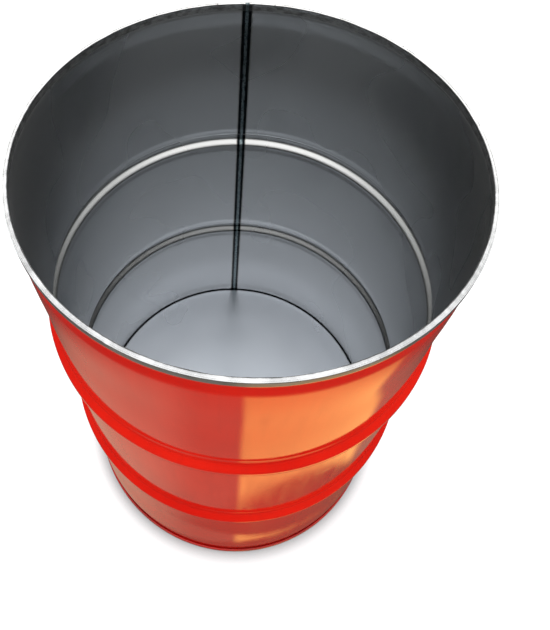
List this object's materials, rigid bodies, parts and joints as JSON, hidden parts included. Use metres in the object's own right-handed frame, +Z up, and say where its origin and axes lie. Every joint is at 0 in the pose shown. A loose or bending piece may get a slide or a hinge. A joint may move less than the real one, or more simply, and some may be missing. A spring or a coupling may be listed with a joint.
{
  "type": "open-top steel drum",
  "caption": "Open-top steel drum: welded sheet body with swaged rolling hoops, double-seamed bottom head and bare steel rim.",
  "frame": {"origin": "on the drum's axis, in the plane that it stands on", "axes": "+Z up along the drum's axis; +Y towards the side that the seam is on, 3.4 degrees short of it"},
  "size_m": [0.5924, 0.5924, 0.852],
  "materials": {
    "red_paint": "glossy red enamel outside, bare grey steel inside",
    "weld_steel": "heat-darkened steel bead",
    "grey_steel": "satin pale grey inside, red enamel underneath",
    "compound": "matt sealing compound",
    "bare_steel": "ground bare steel with fine scratches"
  },
  "bodies": {
    "root": {"body_shell": "red_paint", "side_weld": "weld_steel", "bottom_head": "grey_steel", "bottom_seam_compound": "compound", "top_head_ring": "bare_steel", "top_seam_compound": "compound"}
  },
  "joints": []
}
